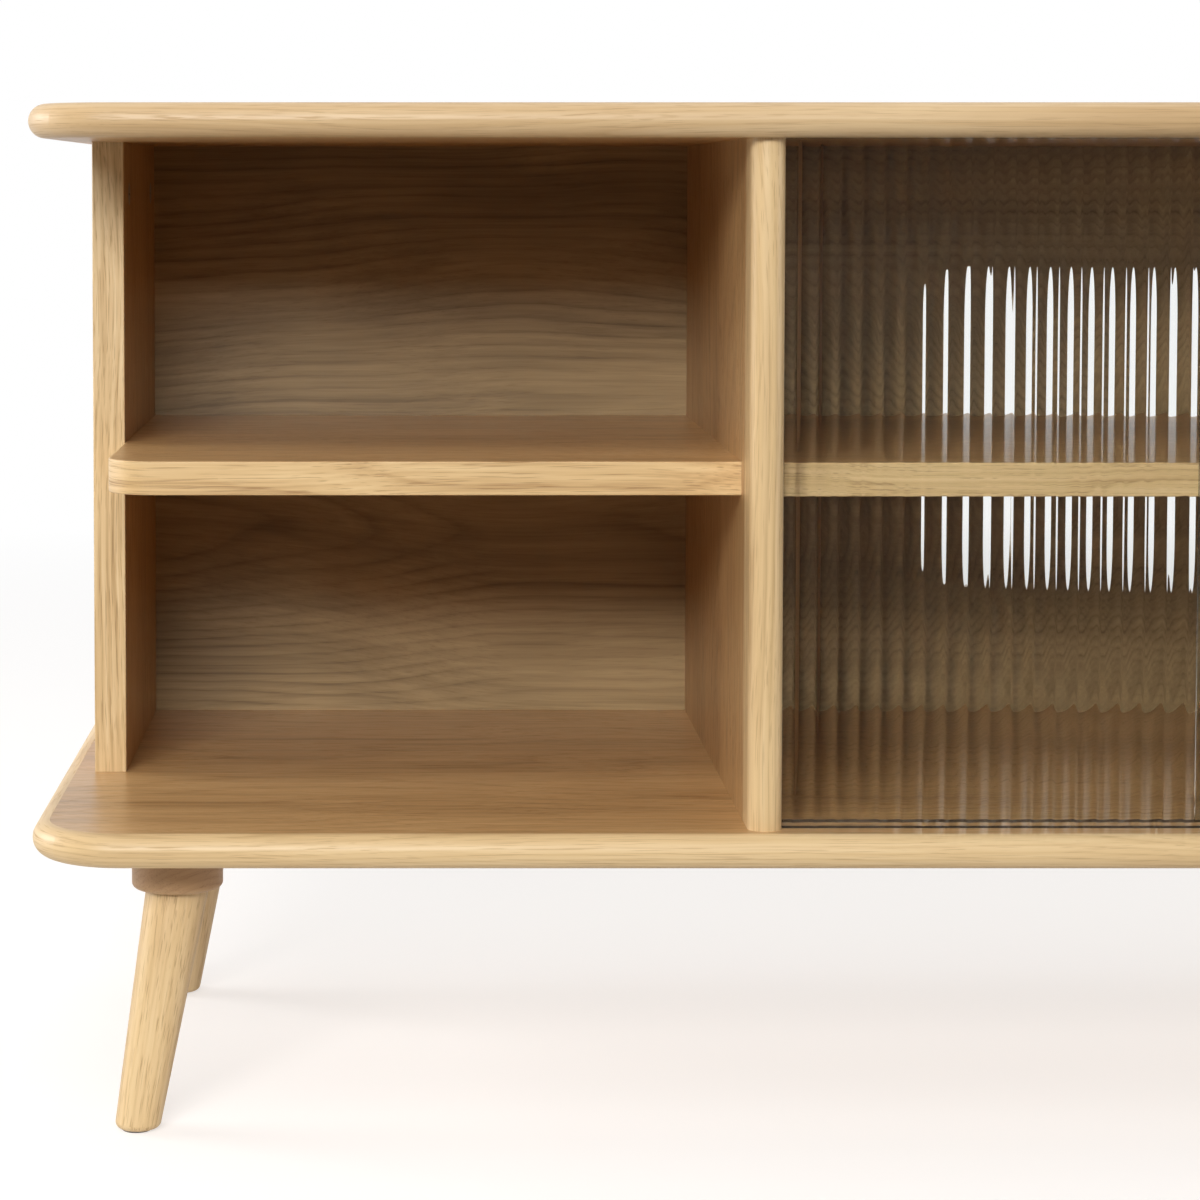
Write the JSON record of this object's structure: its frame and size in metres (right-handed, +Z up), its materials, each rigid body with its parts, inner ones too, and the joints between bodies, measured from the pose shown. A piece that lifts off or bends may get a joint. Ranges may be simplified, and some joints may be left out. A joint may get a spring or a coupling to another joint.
{
  "type": "media cabinet",
  "caption": "Long low oak media cabinet on splayed turned legs, with open shelved end bays and a middle bay behind sliding fluted glass doors.",
  "frame": {"origin": "on the floor, at the middle of the boards' footprint", "axes": "+X to the right along the length, -Y to the front where the doors are, +Z up"},
  "size_m": [1.4, 0.45, 0.608],
  "materials": {
    "oak_veneer": "satin oak veneer, grain along each board",
    "solid_oak": "satin solid oak",
    "beech_dowel": "bare beech",
    "fluted_glass": "clear reeded glass",
    "track_plastic": "matte dark brown",
    "glide_nylon": "matte",
    "cam_zinc": "dull zinc",
    "steel_fixings": "zinc plated"
  },
  "bodies": {
    "cabinet": {"back_left_collar": "solid_oak", "back_left_leg": "solid_oak", "back_panel_screws": "steel_fixings", "back_right_collar": "solid_oak", "back_right_leg": "solid_oak", "bottom_back_lipping": "solid_oak", "bottom_front_lipping": "solid_oak", "bottom_front_track": "track_plastic", "bottom_left_lipping": "solid_oak", "bottom_panel": "oak_veneer", "bottom_rear_track": "track_plastic", "bottom_right_lipping": "solid_oak", "cam_bolts": "steel_fixings", "cam_housings": "cam_zinc", "centre_back_panel": "oak_veneer", "centre_shelf": "oak_veneer", "centre_shelf_edging": "solid_oak", "collar_screws": "steel_fixings", "foot_glides": "glide_nylon", "front_left_collar": "solid_oak", "front_left_leg": "solid_oak", "front_right_collar": "solid_oak", "front_right_leg": "solid_oak", "hanger_bolts": "steel_fixings", "left_back_panel": "oak_veneer", "left_divider_nosing": "solid_oak", "left_divider_panel": "oak_veneer", "left_shelf": "oak_veneer", "left_shelf_edging": "solid_oak", "left_side_edging": "solid_oak", "left_side_panel": "oak_veneer", "panel_dowels": "beech_dowel", "panel_screws": "steel_fixings", "right_back_panel": "oak_veneer", "right_divider_nosing": "solid_oak", "right_divider_panel": "oak_veneer", "right_shelf": "oak_veneer", "right_shelf_edging": "solid_oak", "right_side_edging": "solid_oak", "right_side_panel": "oak_veneer", "shelf_dowels": "beech_dowel", "threaded_inserts": "steel_fixings", "top_back_lipping": "solid_oak", "top_front_lipping": "solid_oak", "top_front_track": "track_plastic", "top_left_lipping": "solid_oak", "top_panel": "oak_veneer", "top_rear_track": "track_plastic", "top_right_lipping": "solid_oak"},
    "left_door": {"left_glass_door": "fluted_glass"},
    "right_door": {"right_glass_door": "fluted_glass"}
  },
  "joints": [
    {"name": "left_door_slide", "type": "slide", "parent": "cabinet", "child": "left_door", "axis": [1, 0, 0], "range_m": [0, 0.244]},
    {"name": "right_door_slide", "type": "slide", "parent": "cabinet", "child": "right_door", "axis": [-1, 0, 0], "range_m": [0, 0.244]}
  ]
}
